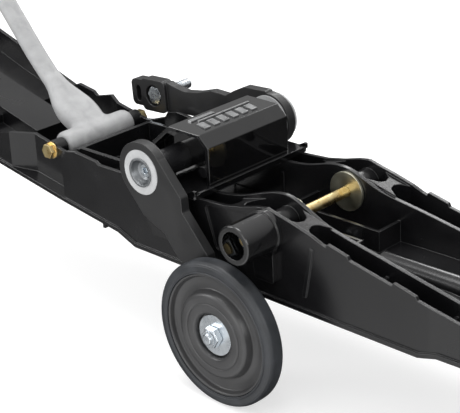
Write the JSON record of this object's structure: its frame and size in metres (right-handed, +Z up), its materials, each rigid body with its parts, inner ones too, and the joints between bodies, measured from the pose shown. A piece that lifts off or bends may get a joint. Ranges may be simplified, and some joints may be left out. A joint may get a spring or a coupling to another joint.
{
  "type": "snowmobile ski with retractable transport wheel kit",
  "caption": "Moulded snowmobile ski with a grey carrying loop and a bolt-on pivot housing whose two side arms swing a transport wheel down or fold it forward.",
  "frame": {"origin": "centre of the ski leg bolt, midway between the ski's walls", "axes": "+X to the ski's tail, +Y to the far side (the folded arm), +Z up"},
  "size_m": [1.08, 0.247, 0.3341],
  "materials": {
    "ski_plastic": "satin black ribbed moulding",
    "kit_plastic": "glossy black moulding",
    "arm_plastic": "fine matt black",
    "loop_plastic": "light grey mottled",
    "nylon": "white nylon",
    "zinc": "bright zinc plate",
    "yellow_zinc": "yellow zinc plate",
    "steel": "bare ground steel",
    "black_steel": "black painted steel",
    "rubber": "dark wheel rubber",
    "rim_plastic": "satin dark grey",
    "emblem": "silver raised bars"
  },
  "bodies": {
    "ski": {"ski_body": "ski_plastic", "runner_bar": "steel", "carbide_strip": "steel", "runner_nuts": "zinc", "ski_loop": "loop_plastic", "loop_rear_bolt": "yellow_zinc", "loop_rear_nut": "yellow_zinc", "loop_front_bolts": "zinc", "loop_front_nuts": "zinc", "leg_bolt": "yellow_zinc", "leg_nut": "yellow_zinc", "leg_washer_near": "yellow_zinc", "leg_washer_far": "yellow_zinc", "stop_boss": "kit_plastic", "base_plate": "kit_plastic", "side_bracket_near": "kit_plastic", "side_bracket_far": "kit_plastic", "clamp_bar": "steel", "plate_bolts": "zinc", "plate_nuts": "zinc", "housing_cover": "kit_plastic", "housing_emblem": "emblem", "tube_saddles": "black_steel", "cross_bolt": "black_steel", "cross_nut": "zinc", "pivot_tube": "black_steel", "pivot_bolt": "zinc", "hub_cup_near": "zinc", "hub_cup_far": "zinc", "spring_washer_near": "steel", "spring_washer_far": "steel"},
    "near_arm": {"near_arm": "arm_plastic", "near_bush": "nylon", "axle_bolt": "zinc", "axle_washer": "zinc", "axle_nut": "zinc", "axle_spacer": "steel", "bearing_inner_races": "steel", "bearing_spacer": "steel"},
    "far_arm": {"far_arm": "arm_plastic", "far_bush": "nylon", "far_axle_bolt": "zinc", "far_axle_nut": "zinc"},
    "wheel": {"wheel_rim": "rim_plastic", "wheel_tyre": "rubber", "bearing_outer_races": "steel", "bearing_balls": "steel"}
  },
  "joints": [
    {"name": "near_arm_swing", "type": "hinge", "parent": "ski", "child": "near_arm", "pos_m": [-0.1304, -0.0865, 0.0264], "axis": [0, 1, 0], "range_deg": [0, 127.5]},
    {"name": "far_arm_swing", "type": "hinge", "parent": "ski", "child": "far_arm", "pos_m": [-0.1304, 0.0865, 0.0264], "axis": [0, 1, 0], "range_deg": [-128, 0]},
    {"name": "wheel_spin", "type": "hinge", "parent": "near_arm", "child": "wheel", "pos_m": [-0.02571, -0.105, -0.09194], "axis": [0, 1, 0], "continuous": true}
  ]
}
